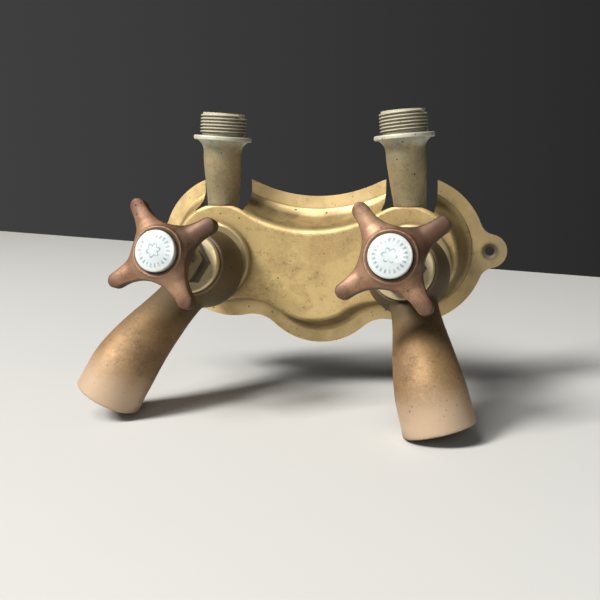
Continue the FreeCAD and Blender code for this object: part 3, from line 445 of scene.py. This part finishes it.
for side in SIDES:
    MATERIALS["spout_brass_" + side] = old_brass(
        "spout_brass_" + side, (0.50, 0.37, 0.24), (0.25, 0.15, 0.064), (0.175, 0.105, 0.048),
        (0.06, 0.038, 0.018), 0.58, 0.46, worn=0.3, pits=0.7,
        # On each spout: painted shadow of the handle, with dark patina, round the ring; a painted highlight on the
        # lower flare; darker again at the mouth's lip.
        coats=[around_axis(side, 42, 22, (0.095, 0.068, 0.032), 0.45, 0.9),
               around_axis(side, 58, 80, (0.46, 0.335, 0.225), 0.36, 0.9),
               around_axis(side, 88, 97, (0.24, 0.165, 0.09), 0.4, 0.8)])
    MATERIALS["handle_copper_brass_" + side] = old_brass(
        "handle_copper_brass_" + side, (0.47, 0.31, 0.20), (0.295, 0.172, 0.10),
        (0.205, 0.105, 0.056), (0.065, 0.03, 0.016), 0.48, 0.50, worn=0.2, pits=0.8,
        coats=[around_axis(side, 21, 31, (0.075, 0.032, 0.017), 0.45, 0.85),
               # Tarnish with painted shade on the upper right arms.
               upper_right_tarnish_and_shade(side, (0.055, 0.024, 0.013)),
               # Painted shade on the arms' sides.
               turned_sides_shade(side, (0.045, 0.022, 0.012))])
    MATERIALS["bonnet_brass_" + side] = old_brass(
        "bonnet_brass_" + side, (0.80, 0.66, 0.38), (0.56, 0.44, 0.22), (0.40, 0.30, 0.15),
        (0.12, 0.09, 0.05), 0.40, 0.7,
        # Both bonnet coats are painted shade: inside the flange's bright rim, and forward under the handle.
        coats=[around_axis(side, 17.0, 14.0, (0.06, 0.045, 0.022), 0.4, 0.95),
               ahead_of(side, 42.5, 43.5, (0.035, 0.027, 0.015), 0.4)])


def dress(thing, slot, side):
    """Give a mesh one material, its own side's where there is one."""
    thing.data.materials.clear()
    thing.data.materials.append(MATERIALS.get(slot + "_" + side) or MATERIALS[slot])


for entry in frame["record"]["subparts"]:
    dress(frame["nodes"][entry["node"]], entry["material_slot"], entry["node"].split("_")[-1])


# ---------------------------------------------------------------- pieces

def piece(name, mesh, body, slot, *nodes):
    """A new piece in place of CAD nodes."""
    thing = bpy.data.objects.new(name, mesh)
    bpy.context.scene.collection.objects.link(thing)
    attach(thing, body)
    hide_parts(*nodes)
    dress(thing, slot, name.split("_")[-1])
    return thing


def cast_skin(node, voxel):
    """A node's mesh as one even skin, which takes rounding like cast metal."""
    thing = bpy.data.objects.new("skin", node.data.copy())
    bpy.context.scene.collection.objects.link(thing)
    remesh = thing.modifiers.new("skin", "REMESH")
    remesh.mode = "VOXEL"
    remesh.voxel_size = voxel
    remesh.adaptivity = 0.0
    bpy.context.view_layer.update()
    graph = bpy.context.evaluated_depsgraph_get()
    mesh = bpy.data.meshes.new_from_object(thing.evaluated_get(graph))
    bpy.data.objects.remove(thing)
    return mesh


def ease(mesh, rounds, chosen):
    """Smooth the vertices that `chosen` picks, a number of times."""
    shape = bmesh.new()
    shape.from_mesh(mesh)
    verts = [vert for vert in shape.verts if chosen(vert.co)]
    for _ in range(rounds):
        bmesh.ops.smooth_vert(shape, verts=verts, factor=0.5, use_axis_x=True,
                              use_axis_y=True, use_axis_z=True)
    shape.to_mesh(mesh)
    shape.free()
    mesh.shade_smooth()


def worn_handle(side):
    """The cross handle with its corners rounded by casting and wear."""
    node = frame["nodes"]["cross_handle_" + side]
    voxel = 0.5 * MM
    rounds = 4
    mesh = cast_skin(node, voxel)
    ease(mesh, rounds, lambda spot: True)
    fill_bezel(mesh, side)
    crown_arms(mesh, side)
    ease(mesh, rounds, lambda spot: True)
    return piece("worn_handle_" + side, mesh, "handle_" + side, "handle_copper_brass", node.name)


def button_size(side):
    """Radius, rear and front of the index button along its tap's axis."""
    back = tap_frame(side).inverted()
    spots = [back @ vert.co for vert in frame["nodes"]["index_button_" + side].data.vertices]
    return (max(spot.xy.length for spot in spots), min(spot.z for spot in spots),
            max(spot.z for spot in spots))


def fill_bezel(mesh, side):
    """Raise the slope round the button, so that the button sits in a shallow collar."""
    matrix = tap_frame(side)
    back = matrix.inverted()
    button_radius, _, _ = button_size(side)
    inner = button_radius + 0.15 * MM
    width, deep, shallow = 2.2 * MM, 2.8 * MM, 1.0 * MM
    front = max((back @ vert.co).z for vert in mesh.vertices)
    for vert in mesh.vertices:
        spot = back @ vert.co
        out = (spot.xy.length - inner) / width
        if -0.1 < out < 1.0 and spot.z > front - deep:
            spot.z = max(spot.z, front - shallow * (1.0 - max(0.0, out)))
            vert.co = matrix @ spot


def crown_arms(mesh, side):
    """Draw the long edges of the handle's arms back, so that each arm is rounded across."""
    matrix = tap_frame(side)
    back = matrix.inverted()
    spots = [back @ vert.co for vert in mesh.vertices]
    hub_radius, arm_radius, half_width, bow = 12 * MM, 19 * MM, 6 * MM, 2.4 * MM
    tip = max(spots, key=lambda spot: spot.xy.length)
    lean = math.atan2(tip.y, tip.x)
    heights = [spot.z for spot in spots if spot.xy.length > arm_radius]
    middle = (min(heights) + max(heights)) / 2
    half_height = (max(heights) - min(heights)) / 2
    quarter = math.pi / 2
    for vert, spot in zip(mesh.vertices, spots):
        radius = spot.xy.length
        angle = (math.atan2(spot.y, spot.x) - lean + quarter / 2) % quarter - quarter / 2
        off = abs(radius * math.sin(angle)) / half_width
        share = min(1.0, max(0.0, (radius - hub_radius) / (arm_radius - hub_radius)))
        lift = min(1.0, max(-1.0, (spot.z - middle) / half_height))
        spot.z -= bow * lift * share * min(1.2, off * off)
        vert.co = matrix @ spot


def cast_spout(side):
    """The spout as one casting: its ring flows into the neck, and the mouth's edge is eased."""
    node = frame["nodes"]["spout_" + side]
    voxel = 0.7 * MM
    mesh = cast_skin(node, voxel)
    back = tap_frame(side).inverted()
    ring_radius = 17.5 * MM
    neck_rear, neck_start, neck_end = 17.5 * MM, 18.5 * MM, 38 * MM

    def neck(spot):
        local = back @ spot
        return neck_start < local.xy.length < neck_end and local.z > neck_rear

    def outside_ring(spot):
        return (back @ spot).xy.length > ring_radius

    neck_rounds, skin_rounds = 30, 3
    ease(mesh, neck_rounds, neck)
    ease(mesh, skin_rounds, outside_ring)
    return piece("cast_spout_" + side, mesh, "spout_" + side, "spout_brass", node.name)


def button(side):
    """Porcelain button turned about the spindle, with an eased edge and a low crown."""
    radius, rear, top = button_size(side)
    crown, eased = 1.6 * MM, 0.7 * MM
    edge_steps, crown_steps, steps_round = 6, 14, 96
    profile = [(0.0, rear), (radius - eased, rear), (radius, rear + eased),
               (radius, top - crown - eased)]
    for step in range(1, edge_steps + 1):
        turn = step / edge_steps * math.pi / 2
        profile.append((radius - eased * (1 - math.cos(turn)),
                        top - crown - eased * (1 - math.sin(turn))))
    for step in range(1, crown_steps + 1):
        out = (1 - step / crown_steps) * (radius - eased)
        profile.append((out, top - crown * (out / (radius - eased)) ** 2))
    mesh = turned_mesh("glazed_button_" + side, profile, steps_round)
    way_up = marks_way_up(side)
    plan = mesh.uv_layers.new(name="plan")
    for loop in mesh.loops:
        spot = way_up @ mesh.vertices[loop.vertex_index].co
        plan.data[loop.index].uv = (spot.x / MM, spot.y / MM)
    mesh.transform(tap_frame(side))
    return piece("glazed_button_" + side, mesh, "handle_" + side, "porcelain",
                 "index_button_" + side)


def marks_way_up(side):
    """The turn that the button's marks stand at."""
    degrees = -12 if side == "left" else 9
    return Quaternion(UP, math.radians(degrees)).to_matrix()


def turned_mesh(name, profile, steps):
    """Closed mesh turned about Z from (radius, height) points that start and end on the axis."""
    mesh = bpy.data.meshes.new(name)
    shape = bmesh.new()
    rings = []
    turns = [2 * math.pi * step / steps for step in range(steps)]
    for radius, height in profile:
        if radius == 0.0:
            rings.append([shape.verts.new((0, 0, height))])
        else:
            rings.append([shape.verts.new((radius * math.cos(turn), radius * math.sin(turn), height))
                          for turn in turns])
    for lower, upper in zip(rings, rings[1:]):
        for step in range(steps):
            following = (step + 1) % steps
            corners = [lower[step % len(lower)], lower[following % len(lower)],
                       upper[following % len(upper)], upper[step % len(upper)]]
            shape.faces.new(list(dict.fromkeys(corners)))
    bmesh.ops.recalc_face_normals(shape, faces=shape.faces)
    shape.to_mesh(mesh)
    shape.free()
    mesh.shade_smooth()
    return mesh


for side in SIDES:
    worn_handle(side)
    cast_spout(side)
    button(side)


# ---------------------------------------------------------------- stage, light and camera

def soft_light(name, place, aim, size, power, colour):
    """A square soft box at a place, aimed at a point."""
    data = bpy.data.lights.new(name, "AREA")
    data.shape = "SQUARE"
    data.size = size
    data.energy = power
    data.color = colour
    light = bpy.data.objects.new(name, data)
    light.location = place
    light.rotation_euler = (Vector(aim) - Vector(place)).to_track_quat("-Z", "Y").to_euler()
    bpy.context.scene.collection.objects.link(light)


def floor():
    """A plain pale floor that ends behind the object."""
    turn = math.radians(-21.5)
    along = Vector((math.cos(turn), math.sin(turn), 0))
    away = Vector((-along.y, along.x, 0))
    behind, width, front = 0.525, 3.0, 3.0
    level = Vector((0, 0, cad_low.z))
    mesh = bpy.data.meshes.new("floor")
    corners = [level + along * -width - away * front, level + along * width - away * front,
               level + along * width + away * behind, level + along * -width + away * behind]
    mesh.from_pydata(corners, [], [(0, 1, 2, 3)])
    thing = bpy.data.objects.new("floor", mesh)
    bpy.context.scene.collection.objects.link(thing)
    nodes = Nodes("floor_paper")
    colour = nodes.mix(nodes.noise(300, 3.0), (0.50, 0.495, 0.475), (0.47, 0.465, 0.445))
    mesh.materials.append(nodes.finish(colour, 0.7, 0.0, None))


def surroundings():
    """Dark plain surroundings beyond the floor, a little lighter to the left."""
    world = bpy.data.worlds.new("surroundings")
    world.use_nodes = True
    tree = world.node_tree
    place = tree.nodes.new("ShaderNodeTexCoord")
    split = tree.nodes.new("ShaderNodeSeparateXYZ")
    fade = tree.nodes.new("ShaderNodeMapRange")
    fade.inputs["From Min"].default_value = -0.65
    fade.inputs["From Max"].default_value = 0.25
    fade.inputs["To Min"].default_value = 0.055
    fade.inputs["To Max"].default_value = 0.017
    tree.links.new(place.outputs["Generated"], split.inputs["Vector"])
    tree.links.new(split.outputs["X"], fade.inputs["Value"])
    tree.links.new(fade.outputs["Result"], tree.nodes["Background"].inputs["Color"])
    bpy.context.scene.world = world


def camera():
    """A camera a little above and to the right, looking slightly down."""
    data = bpy.data.cameras.new("camera")
    data.sensor_width = 36.0
    data.lens = 51.1
    data.clip_start = 0.01
    thing = bpy.data.objects.new("camera", data)
    thing.location = (0.11205, -0.49212, 0.0567)
    yaw, pitch, roll = math.radians(14.103), math.radians(-9.916), math.radians(-0.463)
    forward = Vector((-math.sin(yaw) * math.cos(pitch), math.cos(yaw) * math.cos(pitch),
                      math.sin(pitch)))
    level = Vector((math.cos(yaw), math.sin(yaw), 0))
    upward = level.cross(forward)
    right = level * math.cos(roll) + upward * math.sin(roll)
    up = upward * math.cos(roll) - level * math.sin(roll)
    thing.rotation_euler = Matrix((right, up, -forward)).transposed().to_euler()
    bpy.context.scene.collection.objects.link(thing)
    bpy.context.scene.camera = thing


floor()
surroundings()
camera()
soft_light("key", (-1.6, -1.6, 2.1), (0, 0, -0.02), 0.8, 140, (1.0, 0.985, 0.96))
soft_light("above", (-0.75, -1.1, 2.1), (-0.1, -0.1, 0), 1.0, 38, (1.0, 0.99, 0.98))
soft_light("fill", (0.4, -2.2, 0.9), (0, 0, 0), 1.0, 12, (0.97, 0.98, 1.0))
bpy.context.scene.view_settings.view_transform = "Standard"
